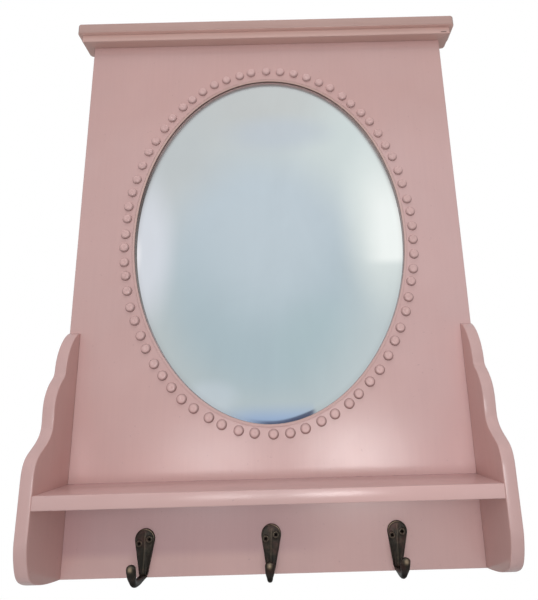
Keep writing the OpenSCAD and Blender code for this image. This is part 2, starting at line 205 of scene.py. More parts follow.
def paint(name, base, grain, seed=0.0, rough=0.22, streak=1.0, wear=0.5, opening=False, cracked=False, under=1.0,
          ends=(1, 1, 1), use_painted_shade=False, painted_light_zones=()):
    """Brushed satin paint on wood. grain is the axis that the brush followed: X, Y or Z, or None on small turned
    pieces.
    With opening, the lip slopes in to the glass. The wall of the opening is dark at its front; deeper in it is painted
    light, paler than the board's coat, and it is painted lighter on the right and darker on the left. The lip's inner
    arris has painted shade, darkest at the top. With cracked, the paint has split along a short line near the right end
    of the front strip. under and ends scale the coat's colour on faces that look down and sideways: painted light and
    shade. The bead switch darkens the coat where the mesh's shade attribute says: painted shade round each bead's foot.
    The zones are
    soft-edged areas of the front, x0, x1, soft_x, z0, z1, soft_z and tone, where tone darkens or lightens the coat:
    painted shadow and painted light."""
    mat = bpy.data.materials.new(name)
    mat.use_nodes = True
    t = Tree(mat.node_tree)
    co = t.n("ShaderNodeTexCoord").outputs["Object"]
    long = {"X": (14, 260, 260), "Z": (260, 260, 14), "Y": (260, 14, 260), None: (180, 180, 180)}[grain]
    brush = t.noise(t.stretched(co, long, (seed, seed * 1.7, seed * 0.6)), 1.0, 3.0, 0.6, 0.3)
    broad = t.noise(t.stretched(co, (1, 1, 1), (seed * 3, 0, seed)), 7.0, 3.0, 0.55, 0.4)
    speck = t.noise(t.stretched(co, (1, 1, 1), (0, seed, 0)), 520.0, 2.0, 0.6)
    colour = t.ramp(broad, [(0.30, scaled(base, 0.97)), (0.52, base), (0.74, scaled(base, 1.03))])
    warm = t.ramp(t.noise(co, 23.0, 2.0, 0.5), [(0.35, (1.0, 0.985, 0.98)), (0.65, (1.0, 1.0, 1.0))])
    colour = t.mix(1.0, colour, warm, "MULTIPLY")
    lines = t.ramp(brush, [(0.30, 1 - 0.014 * streak), (0.55, 1.0), (0.8, 1 + 0.010 * streak)])
    colour = t.mix(1.0, colour, lines, "MULTIPLY")
    # pinholes and dust nibs that the roller left
    nib = t.step(t.noise(t.stretched(co, (1, 1, 1), (seed, 0, 2 * seed)), 310.0, 1.0, 0.5), 0.745, 0.80)
    colour = t.mix(t.math("MULTIPLY", nib, 0.30), colour, scaled(base, 0.62))
    # rubbed arrises: where the rounded normal leaves the flat one the paint is thinner and paler
    bev = t.n("ShaderNodeBevel", samples=6, ins={"Radius": 0.0011}).outputs[0]
    geo = t.n("ShaderNodeNewGeometry")
    dot = t.n("ShaderNodeVectorMath", operation="DOT_PRODUCT", ins={0: bev, 1: geo.outputs["Normal"]}).outputs["Value"]
    edge = t.math("SUBTRACT", 1.0, dot, clamp=True)
    edge = t.math("MULTIPLY", edge, 2.6, clamp=True)
    patchy = t.ramp(t.noise(co, 60.0, 3.0, 0.6), [(0.42, 0.15), (0.62, 1.0)])
    edge = t.math("MULTIPLY", t.math("MULTIPLY", edge, patchy), wear)
    colour = t.mix(edge, colour, scaled(base, 1.16))
    roughness = t.math("ADD", rough - 0.04, t.math("MULTIPLY", t.noise(co, 90.0, 3.0, 0.6), 0.08))
    height = t.math("ADD", t.math("MULTIPLY", brush, 0.5 * streak), t.math("MULTIPLY", speck, 0.30))
    height = t.math("ADD", height, t.math("MULTIPLY", t.noise(co, 36.0, 2.0, 0.5), 1.6))
    normal = t.n("ShaderNodeBump", ins={"Strength": 0.30, "Distance": 0.00012, "Height": height, "Normal": bev}).outputs[0]
    if opening:
        d, up, across = rim_distance(t, co)
        depth = t.math("ADD", t.n("ShaderNodeSeparateXYZ", ins={0: co}).outputs[1], BOARD_T * MM)
        behind = t.step(depth, 0.00002, 0.00010)
        on_wall = t.times(behind, t.step(depth, 0.0042, 0.0044, 1.0, 0.0), t.step(t.math("ABSOLUTE", d), 0.0005, 0.0008, 1.0, 0.0))
        # the wall of the opening: dark at its front; deeper in, painted light, paler than the board's coat though the
        # wall looks down or aside; painted lighter on the right and darker on the left
        wall_paint_and_light = t.ramp(t.math("MULTIPLY", depth, 1 / (REVEAL * MM)), [(0.0, WALL_DARK), (0.34, WALL_DARK), (0.70, WALL_PAINTED_LIGHT), (1.0, WALL_PAINTED_LIGHT)])
        wall_paint_and_light = t.mix(t.step(across, 0.35, 0.95), wall_paint_and_light, WALL_RIGHT_PAINTED_LIGHT)
        wall_paint_and_light = t.mix(t.step(across, -0.98, -0.80, 0.85, 0.0), wall_paint_and_light, WALL_DARK)
        wall_paint_and_light = t.mix(1.0, wall_paint_and_light, t.ramp(t.noise(co, 160.0, 3.0, 0.6), [(0.3, 0.86), (0.7, 1.10)]), "MULTIPLY")
        colour = t.mix(on_wall, colour, wall_paint_and_light)
        # the first coat, a warm buff, shows through on the lip
        buff = t.times(t.step(d, -0.0001, 0.0004), t.step(d, LIP * MM, LIP * MM + 0.0008, 1.0, 0.0), t.step(depth, 0.0019, 0.0020, 1.0, 0.0),
                       t.step(up, -0.6, 0.5, 0.10, 0.50))
        colour = t.mix(buff, colour, lin(207, 178, 166))
        # painted shade on the inner arris of the lip, darkest at the top, where the lip looks down
        arris_shade = t.times(t.step(d, 0.0000, 0.0010, 1.0, 0.0), t.step(up, -0.8, 0.3, 0.10, 0.85), t.step(depth, 0.00010, 0.00012, 1.0, 0.0))
        colour = t.mix(arris_shade, colour, WALL_DARK)
        slope = t.math("MINIMUM", t.math("MAXIMUM", d, 0.0), LIP * MM)
        normal = t.n("ShaderNodeBump", ins={"Strength": 1.0, "Distance": 1.0, "Height": t.math("MULTIPLY", slope, 0.32),
                                            "Normal": normal}).outputs[0]
    # painted light and shade: the coat is rescaled on faces that look down and on faces that look sideways
    if under != 1.0:
        down = t.step(t.n("ShaderNodeSeparateXYZ", ins={0: geo.outputs["Normal"]}).outputs[2], -0.8, -0.4, 1.0, 0.0)
        colour = t.mix(down, colour, t.mix(1.0, colour, (under, under, under), "MULTIPLY"))
    if ends != (1, 1, 1):
        aside = t.step(t.math("ABSOLUTE", t.n("ShaderNodeSeparateXYZ", ins={0: geo.outputs["Normal"]}).outputs[0]), 0.45, 0.9)
        colour = t.mix(aside, colour, t.mix(1.0, colour, ends, "MULTIPLY"))
    # painted shadow and painted light, in soft-edged areas of the front
    for x0, x1, soft_x, z0, z1, soft_z, tone in painted_light_zones:
        px, py, pz = t.n("ShaderNodeSeparateXYZ", ins={0: co}).outputs
        front = t.step(t.n("ShaderNodeSeparateXYZ", ins={0: geo.outputs["Normal"]}).outputs[1], -0.8, -0.4, 1.0, 0.0)
        spot = t.times(front, t.step(px, x0 - soft_x, x0 + soft_x), t.step(px, x1 - soft_x, x1 + soft_x, 1.0, 0.0),
                       t.step(pz, z0 - soft_z, z0 + soft_z), t.step(pz, z1 - soft_z, z1 + soft_z, 1.0, 0.0))
        colour = t.mix(spot, colour, t.mix(1.0, colour, tone, "MULTIPLY"))
    if use_painted_shade:
        # painted shade: darker where the mesh attribute says, round the foot of each bead
        shade_amount = t.n("ShaderNodeAttribute", attribute_name="painted_shade").outputs["Fac"]
        colour = t.mix(t.math("MULTIPLY", shade_amount, 0.75), colour, scaled(base, 0.42))
    if cracked:
        cx, cy, cz = t.n("ShaderNodeSeparateXYZ", ins={0: co}).outputs
        wander = t.math("MULTIPLY", t.math("SUBTRACT", t.noise(co, 300.0, 2.0, 0.5), 0.5), 0.0005)
        off = t.math("ABSOLUTE", t.math("SUBTRACT", t.math("ADD", cz, wander), 0.0387))
        split = t.times(t.step(cx, 0.2198, 0.2206), t.step(cx, 0.2266, 0.2274, 1.0, 0.0), t.step(off, 0.00040, 0.00065, 1.0, 0.0),
                        t.step(cy, -0.0264, -0.0262, 1.0, 0.0))
        colour = t.mix(t.math("MULTIPLY", split, 0.95), colour, lin(58, 30, 26))
    bsdf = t.n("ShaderNodeBsdfPrincipled", ins={"Base Color": colour, "Roughness": roughness, "Normal": normal})
    bsdf.inputs["Specular IOR Level"].default_value = 0.5
    out = t.n("ShaderNodeOutputMaterial")
    t.t.links.new(bsdf.outputs[0], out.inputs[0])
    return mat


def metal(name, dark, bright, rough=0.38, worn=0.35, metallic=0.9, scale=300.0, seed=0.0, tints=None, arris=None):
    """A patinated or plated metal: dark in the hollows, worn bright in patches and on the arrises, lighter where the
    mesh's wear attribute says, which is a painted highlight with some real wear on the knobs, and near black and dull
    where its shade attribute says, which is painted shade in recesses and on undersides. tints are two colours that the
    patina drifts to, arris its colour on edges."""
    mat = bpy.data.materials.new(name)
    mat.use_nodes = True
    t = Tree(mat.node_tree)
    co = t.stretched(t.n("ShaderNodeTexCoord").outputs["Object"], (1, 1, 1), (seed, seed, seed))
    cloud = t.noise(co, scale, 4.0, 0.62, 0.2)
    fine = t.noise(co, scale * 6, 2.0, 0.6)
    geo = t.n("ShaderNodeNewGeometry")
    bev = t.n("ShaderNodeBevel", samples=6, ins={"Radius": 0.0005}).outputs[0]
    dot = t.n("ShaderNodeVectorMath", operation="DOT_PRODUCT", ins={0: bev, 1: geo.outputs["Normal"]}).outputs["Value"]
    edge = t.math("MULTIPLY", t.math("SUBTRACT", 1.0, dot, clamp=True), 3.0, clamp=True)
    rub = t.ramp(cloud, [(0.50, 0.0), (0.72, 1.0)])
    amount = t.math("ADD", t.math("MULTIPLY", rub, worn), t.math("MULTIPLY", edge, worn), clamp=True)
    # lighter where the mesh's wear attribute says: a painted highlight, with some real wear on the knobs
    highlight_and_wear = t.n("ShaderNodeAttribute", attribute_name="wear").outputs["Fac"]
    amount = t.math("ADD", amount, t.math("MULTIPLY", highlight_and_wear, t.ramp(cloud, [(0.35, 0.75), (0.6, 1.0)])), clamp=True)
    patina = dark
    if tints:
        drift = t.noise(co, scale * 0.35, 2.0, 0.5, 0.4)
        patina = t.ramp(drift, [(0.36, tints[0]), (0.50, dark), (0.64, tints[1])])
    if arris:
        patina = t.mix(t.math("MULTIPLY", edge, 0.8), patina, arris)
    colour = t.mix(amount, patina, bright)
    # painted shade: near black and not metallic where the mesh's shade attribute says, in recesses and on undersides
    shade_amount = t.n("ShaderNodeAttribute", attribute_name="painted_shade").outputs["Fac"]
    colour = t.mix(shade_amount, colour, (0.009, 0.007, 0.006))
    colour = t.mix(1.0, colour, t.ramp(fine, [(0.3, 0.85), (0.7, 1.1)]), "MULTIPLY")
    roughness = t.math("ADD", rough - 0.08, t.math("MULTIPLY", cloud, 0.2))
    bump = t.n("ShaderNodeBump", ins={"Strength": 0.4, "Distance": 0.00008, "Height": t.math("ADD", cloud, t.math("MULTIPLY", fine, 0.5)),
                                      "Normal": bev}).outputs[0]
    unshaded = t.math("SUBTRACT", 1.0, shade_amount, clamp=True)
    bsdf = t.n("ShaderNodeBsdfPrincipled", ins={"Base Color": colour, "Roughness": roughness, "Normal": bump,
                                                "Metallic": t.math("MULTIPLY", unshaded, metallic),
                                                "Specular IOR Level": t.math("MULTIPLY", unshaded, 0.5)})
    out = t.n("ShaderNodeOutputMaterial")
    t.t.links.new(bsdf.outputs[0], out.inputs[0])
    return mat


def mirror(name):
    """Silvered glass: a faint haze and wiping marks, and a grey fringe along its edge, strongest at the top, that is
    painted shade and a painted reflection of the dark wall of the opening.
    """
    mat = bpy.data.materials.new(name)
    mat.use_nodes = True
    t = Tree(mat.node_tree)
    co = t.n("ShaderNodeTexCoord").outputs["Object"]
    smear = t.noise(t.stretched(co, (6, 6, 2)), 3.0, 3.0, 0.6, 0.6)
    colour = t.ramp(smear, [(0.3, scaled(GLASS, 0.985)), (0.7, scaled(GLASS, 1.015))])
    d, up, _ = rim_distance(t, co)
    # painted shade and a painted reflection of the opening's wall along the glass's edge, strongest at the top; the
    # glass is rougher there too
    edge_shade = t.step(d, -0.0090, -0.0010, 0.0, 1.0)
    edge_shade = t.times(edge_shade, edge_shade, t.step(up, -0.1, 0.75, 0.2, 1.0))
    colour = t.mix(t.math("MULTIPLY", edge_shade, 0.62), colour, (0.42, 0.33, 0.32))
    roughness = t.math("ADD", 0.004, t.math("MULTIPLY", t.noise(co, 18.0, 3.0, 0.6), 0.014))
    roughness = t.math("ADD", roughness, t.math("MULTIPLY", edge_shade, t.step(up, 0.0, 0.6, 0.16, 0.55)))
    bsdf = t.n("ShaderNodeBsdfPrincipled", ins={"Base Color": colour, "Roughness": roughness})
    bsdf.inputs["Metallic"].default_value = 1.0
    out = t.n("ShaderNodeOutputMaterial")
    t.t.links.new(bsdf.outputs[0], out.inputs[0])
    return mat


def fibre(name, base, grain=(1, 1, 1), rough=0.75, scale=420.0, contrast=0.2):
    """Bare wood or hardboard."""
    mat = bpy.data.materials.new(name)
    mat.use_nodes = True
    t = Tree(mat.node_tree)
    co = t.stretched(t.n("ShaderNodeTexCoord").outputs["Object"], grain)
    a = t.noise(co, scale, 4.0, 0.65, 0.3)
    b = t.noise(co, scale * 0.06, 2.0, 0.5)
    colour = t.ramp(a, [(0.3, scaled(base, 1 - contrast)), (0.55, base), (0.75, scaled(base, 1 + contrast))])
    colour = t.mix(1.0, colour, t.ramp(b, [(0.35, 0.9), (0.65, 1.08)]), "MULTIPLY")
    bump = t.n("ShaderNodeBump", ins={"Strength": 0.5, "Distance": 0.0001, "Height": a}).outputs[0]
    bsdf = t.n("ShaderNodeBsdfPrincipled", ins={"Base Color": colour, "Roughness": t.math("ADD", rough - 0.05, t.math("MULTIPLY", b, 0.1)), "Normal": bump})
    out = t.n("ShaderNodeOutputMaterial")
    t.t.links.new(bsdf.outputs[0], out.inputs[0])
    return mat


PINK = lin(203, 168, 165)
BUFF_PINK = lin(203, 167, 159)
GLASS = (0.90, 0.92, 0.92)
# the wall of the opening: a dark front; the two paler colours are painted light, as lit as the board's face though the
# wall looks down or aside
WALL_DARK, WALL_PAINTED_LIGHT, WALL_RIGHT_PAINTED_LIGHT = lin(84, 56, 50), lin(214, 180, 178), lin(190, 168, 162)
M = {
    "painted_board": paint("painted_board", PINK, "Z", 0.0, opening=True, painted_light_zones=(
        # painted shadow below the shelf, painted shade along the top under the cornice, and painted light on the right
        # of the board
        (-0.30, 0.03, 0.05, -0.555, -0.494, 0.006, (0.84, 0.82, 0.86)),
        (-0.30, 0.30, 0.01, -0.08, 0.20, 0.06, (0.95, 0.92, 0.91)),
        (0.13, 0.30, 0.04, -0.53, -0.10, 0.05, (1.045, 1.055, 1.07)))),
    # painted shade and painted light: the same pink is darker on the cornice and lighter on the strip than on the
    # board, and their down-facing faces and ends are lightened or darkened
    "painted_cornice": paint("painted_cornice", scaled(BUFF_PINK, 0.80), "X", 3.0, streak=2.4, wear=0.1, under=1.45, ends=(0.60, 0.60, 0.60)),
    "painted_strip": paint("painted_strip", scaled(BUFF_PINK, 1.05), "X", 5.0, streak=1.8, wear=0.2, cracked=True, under=0.94, ends=(0.75, 0.75, 0.75)),
    # painted shade round the foot of each bead
    "painted_beads": paint("painted_beads", scaled(PINK, 1.05), None, 7.0, rough=0.24, streak=0.4, wear=0.2, use_painted_shade=True),
    "painted_shelf": paint("painted_shelf", scaled(PINK, 1.03), "X", 9.0, painted_light_zones=(
        # painted light on the right of the shelf's front
        (0.06, 0.30, 0.05, -0.60, -0.40, 0.01, (1.10, 1.09, 1.09)),)),
    # painted light: the brackets' faces that look sideways are tinted browner
    "painted_brackets": paint("painted_brackets", scaled(PINK, 1.0), "Z", 11.0, ends=(1.02, 0.955, 0.925)),
    "mirror_glass": mirror("mirror_glass"),
    "hardboard": fibre("hardboard", lin(128, 92, 62), scale=700.0),
    "dowel_wood": fibre("dowel_wood", lin(214, 180, 135), (0.08, 1, 1), 0.6),
    "bronzed_metal": metal("bronzed_metal", lin(48, 40, 35), lin(212, 186, 156), 0.38, 0.05, 0.75, 260.0,
                           tints=(lin(43, 39, 34), lin(60, 42, 38)), arris=lin(88, 56, 47)),
    "button_steel": metal("button_steel", lin(165, 166, 165), lin(205, 205, 202), 0.36, 0.5, 1.0, 120.0, 2.0),
    "screw_steel": metal("screw_steel", lin(160, 155, 138), lin(208, 203, 186), 0.34, 0.5, 1.0, 260.0, 4.0),
    "plate_steel": metal("plate_steel", lin(158, 160, 160), lin(196, 197, 196), 0.40, 0.4, 1.0, 90.0, 6.0),
}

slots = {s["node"]: s["material_slot"] for s in frame["record"]["subparts"]}
for name, obj in frame["nodes"].items():
    obj.data.materials.clear()
    obj.data.materials.append(M[slots[name]])


# ---------------------------------------------------------------------------
# Mesh helpers
def finish_mesh(bm, name, slot_name, body="frame", replaced=(), smooth_angle=40, mats=None):
    bmesh.ops.recalc_face_normals(bm, faces=bm.faces)
    me = bpy.data.meshes.new(name)
    bm.to_mesh(me)
    bm.free()
    for m in mats or (M[slot_name],):
        me.materials.append(m)
    obj = bpy.data.objects.new(name, me)
    scene.collection.objects.link(obj)
    for poly in me.polygons:
        poly.use_smooth = True
    if smooth_angle is not None:
        me.set_sharp_from_angle(angle=math.radians(smooth_angle))
    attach(obj, body)
    if replaced:
        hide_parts(*replaced)
    return obj


def ease(x):
    x = min(1.0, max(0.0, x))
    return x * x * (3 - 2 * x)


def curve(p, n=10):
    """A cubic curve from p[0] to p[3], without its last point."""
    out = []
    for i in range(n):
        t = i / n
        u = 1 - t
        out.append(tuple(u ** 3 * a + 3 * u * u * t * b + 3 * u * t * t * c + t ** 3 * d for a, b, c, d in zip(*p)))
    return out


def bevelled_prism(bm, outline, origin, ax, ay, depth_axis, depth, radius, segments=3, angle=20):
    """A prism of a closed 2-D outline whose long edges and arrises are rounded over."""
    start = len(bm.verts)
    bm.verts.ensure_lookup_table()
    lower = [bm.verts.new(origin + ax * u + ay * v) for u, v in outline]
    upper = [bm.verts.new(origin + ax * u + ay * v + depth_axis * depth) for u, v in outline]
    n = len(outline)
    faces = [bm.faces.new(lower), bm.faces.new(list(reversed(upper)))]
    for i in range(n):
        faces.append(bm.faces.new((lower[i], upper[i], upper[(i + 1) % n], lower[(i + 1) % n])))
    bmesh.ops.recalc_face_normals(bm, faces=faces)
    edges = [e for f in faces[:2] for e in f.edges]
    edges += [e for e in {e for f in faces[2:] for e in f.edges}
              if len(e.link_faces) == 2 and e not in edges and e.calc_face_angle(0) > math.radians(angle)]
    bmesh.ops.bevel(bm, geom=list(set(edges)), offset=radius, offset_type="OFFSET", segments=segments, profile=0.5,
                    affect="EDGES", clamp_overlap=True)
    return start


def box_outline(w, h):
    return [(0, 0), (w, 0), (w, h), (0, h)]


# ---------------------------------------------------------------------------
# Brackets, shelf and cornice: as the construction, with eased arrises
def bracket_outline():
    sd = SHELF_D
    pts = []
    pts += curve([(0, 243), (11.5, 241), (24.4, 222), (24.8, 202)], 16)
    pts += curve([(24.8, 202), (24.8, 197), (25.4, 194.8), (29, 191.2)], 8)
    pts += curve([(29, 191.2), (35.8, 184.5), (40.5, 175), (40.6, 163.5)], 14)
    pts += curve([(40.6, 163.5), (40.7, 158), (39.9, 152), (40.1, 146.5)], 6)
    pts += curve([(40.1, 146.5), (40.2, 142), (42, 137.5), (45.6, 133.4)], 8)
    pts += curve([(45.6, 133.4), (49.5, 129), (54.5, 126), (59, 122)], 6)
    pts += curve([(59, 122), (64.5, 117), (sd, 110), (sd, 101)], 10)
    pts += [(sd, 101)]
    pts += curve([(sd, 50), (sd, 42), (62, 24.5), (56.5, 18.5)], 12)
    pts += curve([(56.5, 18.5), (50, 10.3), (31, 4.6), (0, 0)], 16)
    pts += [(0, 0)]
    return pts


def make_bracket(side):
    bm = bmesh.new()
    x0 = BOARD_W / 2 - BRACKET_T if side > 0 else -BOARD_W / 2
    outline = [(d * MM, z * MM) for d, z in bracket_outline()]
    bevelled_prism(bm, outline, row(x0, FRONT, ZB), Vector((0, -1, 0)), Vector((0, 0, 1)), Vector((1, 0, 0)),
                   BRACKET_T * MM, 0.9 * MM)
    name = "right_bracket" if side > 0 else "left_bracket"
    return finish_mesh(bm, name + "_shaped", "painted_brackets", replaced=[name])


def make_shelf():
    bm = bmesh.new()
    w = BOARD_W - 2 * BRACKET_T
    bevelled_prism(bm, [(0, 0), (SHELF_D * MM, 0), (SHELF_D * MM, SHELF_T * MM), (0, SHELF_T * MM)],
                   row(-w / 2, FRONT, ZB + SHELF_Z - SHELF_T), Vector((0, -1, 0)), Vector((0, 0, 1)), Vector((1, 0, 0)),
                   w * MM, 0.8 * MM)
    return finish_mesh(bm, "shelf_eased", "painted_shelf", replaced=["shelf"])


def plan_prism(bm, plan, z0, z1):
    """A prism of a plan in row millimetres, between two heights."""
    low = [bm.verts.new(row(x, y, z0)) for x, y in plan]
    top = [bm.verts.new(row(x, y, z1)) for x, y in plan]
    n = len(plan)
    bm.faces.new(low)
    bm.faces.new(list(reversed(top)))
    for i in range(n):
        bm.faces.new((low[i], top[i], top[(i + 1) % n], low[(i + 1) % n]))
    bmesh.ops.recalc_face_normals(bm, faces=bm.faces)
    return low, top


def rounded(cx, cy, r, a0, a1, n=6):
    return [(cx + r * math.cos(math.radians(a0 + (a1 - a0) * k / n)), cy + r * math.sin(math.radians(a0 + (a1 - a0) * k / n)))
            for k in range(n + 1)]


def make_cornice_board():
    bm = bmesh.new()
    w, d = BOARD_W / 2 + CORNICE_OUT, BOARD_T + CORNICE_OUT
    r, q = 4.5, 4.0
    plan = (rounded(w - q, -q, q, 90, 0) + rounded(w - r, -d + r, r, 0, -90)
            + rounded(-w + r, -d + r, r, 270, 180) + rounded(-w + q, -q, q, 180, 90))
    z0, z1 = ZB + BOARD_H, ZB + BOARD_H + CORNICE_T
    low, top = plan_prism(bm, plan, z0, z1)
    rim = [e for e in bm.edges if all(v in top for v in e.verts) and not all(v.co.y > -1e-6 for v in e.verts)]
    bmesh.ops.bevel(bm, geom=rim, offset=2.4 * MM, segments=6, profile=0.5, affect="EDGES", clamp_overlap=False)
    low = [v for v in bm.verts if abs(v.co.z - z0 * MM) < 1e-6]
    rim = [e for e in bm.edges if all(v in low for v in e.verts) and len(e.link_faces) == 2 and e.calc_face_angle(0) > 1.0]
    bmesh.ops.bevel(bm, geom=rim, offset=0.8 * MM, segments=3, profile=0.5, affect="EDGES", clamp_overlap=False)
    return finish_mesh(bm, "cornice_board_eased", "painted_cornice", replaced=["cornice_board"])


def make_moulding(which):
    """The front strip or a return, mitred, with its lower outer arris eased and a return's back corner rounded over."""
    w, out, s = BOARD_W / 2, STRIP_OUT, which
    if which == 0:
        plan = [(-w, FRONT), (w, FRONT), (w + out, FRONT - out), (-w - out, FRONT - out)]
    else:
        plan = [(s * w, 0)] + [(s * x, y) for x, y in rounded(w + out - 4, -4, 4, 90, 0)] + [(s * (w + out), FRONT - out), (s * w, FRONT)]
    bm = bmesh.new()
    low, top = plan_prism(bm, plan, ZB + BOARD_H - STRIP_H, ZB + BOARD_H)
    mitre = {(round(s * w, 3), FRONT), (round(s * (w + out), 3), FRONT - out)} if which else set()

    def outer(e):
        if not all(v in low for v in e.verts):
            return False
        p = [(round(v.co.x / MM, 3), round(v.co.y / MM, 3)) for v in e.verts]
        if which == 0:
            return all(abs(y - (FRONT - out)) < 1e-3 for _, y in p)
        return all(abs(x) > w + 0.01 for x, _ in p) and not set(p) <= mitre

    bmesh.ops.bevel(bm, geom=[e for e in bm.edges if outer(e)], offset=1.1 * MM, segments=4, profile=0.5, affect="EDGES",
                    clamp_overlap=False)
    name = {0: "cornice_front_strip", -1: "cornice_left_return", 1: "cornice_right_return"}[which]
    return finish_mesh(bm, name + "_eased", "painted_strip", replaced=[name])


# ---------------------------------------------------------------------------
# Beads: low turned buttons, glued down and painted over
RA, RB = OVAL_A + BEAD_OUT, OVAL_B + BEAD_OUT + BEAD_TALL


def bead_places():
    def at(i):
        a = math.radians(i / 2)
        return RA * math.sin(a), RB * math.cos(a)
    run = [0.0]
    for i in range(721):
        (x0, z0), (x1, z1) = at(i), at(i + 1)
        run.append(run[-1] + math.hypot(x1 - x0, z1 - z0))
    length = run[720]
    c, s = (lambda d: math.cos(math.radians(d))), (lambda d: math.sin(math.radians(d)))
    out = []
    for i in range(BEADS):
        u = 360 * i / BEADS
        drift = 1.2 * (c(2 * u + 95) + c(3 * u + 100) + c(6 * u - 90))
        stray = BEAD_STRAY * (0.55 * s(i * 157 + 40) + 0.35 * s(i * 83))
        d = (length * i / BEADS + 16.5 + drift + stray) % length
        k = next(k for k in range(720) if run[k + 1] >= d)
        t = (k + (d - run[k]) / (run[k + 1] - run[k])) / 2
        o = 0.5 * s(i * 101 + 15) + 0.3 * s(i * 47)
        out.append((BEAD_SIDE + (RA + o) * s(t), ZB + OVAL_Z + BEAD_UP + (RB + o) * c(t)))
    return out


def make_beads():
    # radius, height: a fillet of paint at the foot, a steep side, a rolled rim, a faint dome and a small dimple
    profile = [(5.60, 0.0), (5.57, 0.45), (5.45, 0.95), (5.22, 1.45), (4.90, 1.92), (4.50, 2.30), (4.02, 2.60), (3.5, 2.80),
               (2.9, 2.91), (2.3, 2.94), (1.7, 2.90), (1.2, 2.80), (0.7, 2.68), (0.3, 2.62), (0.0, 2.61)]
    bm = bmesh.new()
    painted_shade = bm.verts.layers.float.new("painted_shade")
    seg = 36
    for k, (bx, bz) in enumerate(bead_places()):
        size = 1.0 - 0.012 * (1 + math.sin(k * 2.3))
        low = ease(0.5 + (OVAL_Z + ZB - bz) / OVAL_B / 2)       # 0 at the top of the ring, 1 at its bottom
        tilt_x, tilt_z = 0.02 * math.sin(k * 1.7), 0.02 * math.cos(k * 2.9)
        rings = []
        for r, h in profile[:-1]:
            ring = []
            for j in range(seg):
                a = 2 * math.pi * j / seg
                wob = 1 + 0.006 * math.sin(2 * a + k) + 0.004 * math.sin(3 * a + 2 * k)
                x, z = r * size * wob * math.cos(a), r * size * wob * math.sin(a)
                hh = h + (x * tilt_x + z * tilt_z) * (h / BEAD_H) - 0.06
                ring.append(bm.verts.new(row(bx + x, FRONT - max(0.0, min(hh, BEAD_H)) + (0.1 if h == 0 else 0), bz + z)))
                # painted shade round the foot, strongest on the lower side and towards the bottom of the ring
                ring[-1][painted_shade] = ((1.0 - ease((BEAD_R - r) / (1.7 + 0.9 * low)))
                                  * max(0.0, 0.34 + 0.60 * low + (0.36 - 0.14 * low) * math.cos(a + 1.2)))
            rings.append(ring)
        top = bm.verts.new(row(bx, FRONT - profile[-1][1] + (0.12 if k % 3 else -0.18), bz))
        for lo, hi in zip(rings, rings[1:]):
            for j in range(seg):
                bm.faces.new((lo[j], lo[(j + 1) % seg], hi[(j + 1) % seg], hi[j]))
        for j in range(seg):
            bm.faces.new((rings[-1][j], rings[-1][(j + 1) % seg], top))
        bm.faces.new(list(reversed(rings[0])))
    return finish_mesh(bm, "turned_beads", "painted_beads", replaced=["oval_beads"], smooth_angle=70)


# ---------------------------------------------------------------------------
# Hooks
def hook_matrix(i):
    place = row(HOOK_X + (i - 1) * HOOK_PITCH, FRONT, ZB + HOOK_TOP - HOOK_LOW[i] - HEAD_R)
    return Matrix.Translation(place) @ Matrix.Rotation(math.radians(HOOK_LEAN[i]), 4, "Y")


def taper(r1, r2, d, n=40):
    a = math.asin((r1 - r2) / d)
    pts = []
    for i in range(n + 1):
        t = -a + (math.pi + 2 * a) * i / n
        pts.append((r1 * math.cos(t), r1 * math.sin(t)))
    for i in range(n + 1):
        t = math.pi + a + (math.pi - 2 * a) * i / n
        pts.append((r2 * math.cos(t), -d + r2 * math.sin(t)))
    # even spacing
    total, acc = 0.0, [0.0]
    for p, q in zip(pts, pts[1:] + pts[:1]):
        total += math.hypot(q[0] - p[0], q[1] - p[1])
        acc.append(total)
    out, k, m = [], 0, 96
    loop = pts + pts[:1]
    for j in range(m):
        s = total * j / m
        while acc[k + 1] < s:
            k += 1
        f = (s - acc[k]) / (acc[k + 1] - acc[k])
        out.append((loop[k][0] + f * (loop[k + 1][0] - loop[k][0]), loop[k][1] + f * (loop[k + 1][1] - loop[k][1])))
    return out


SCREWS = ((-5.3, -3.65), (4.6, 0.0))
RIM_HIGHLIGHT_DEG = (55, 62, 128)     # where round the head each hook's rim carries its painted highlight, in degrees


def along(table, f):
    for (a, va), (b, vb) in zip(table, table[1:]):
        if f <= b:
            return va + (vb - va) * ease((f - a) / (b - a))
    return table[-1][1]


def plate_height(x, z, inset):
    """Front of the cast plate above the board: a rolled rim, a shallow groove inside it, and a ridge that grows to the foot."""
    if inset < 0.7:
        h = 1.45 + 0.75 * math.sqrt(max(0.0, 1 - (1 - inset / 0.7) ** 2))
    else:
        h = 2.2 - 0.42 * ease((inset - 0.7) / 0.6) + 0.30 * ease((inset - 1.4) / 4.5)
    fade = ease((7.5 - z) / 3.0)
    h += (0.22 + 0.28 * ease(-z / 8) + 0.7 * ease((-z - 14) / 16)) * fade * math.exp(-(x / (0.95 + 0.03 * max(0.0, -z - 12))) ** 2)
    for sx, sz in SCREWS:
        d = math.hypot(x - sx, z - sz)
        k = 1 - ease((d - 3.2) / 0.8)
        h = h * (1 - k) + 2.45 * k
        h -= 2.05 * (1 - ease((d - 2.35) / 0.45))
    return h


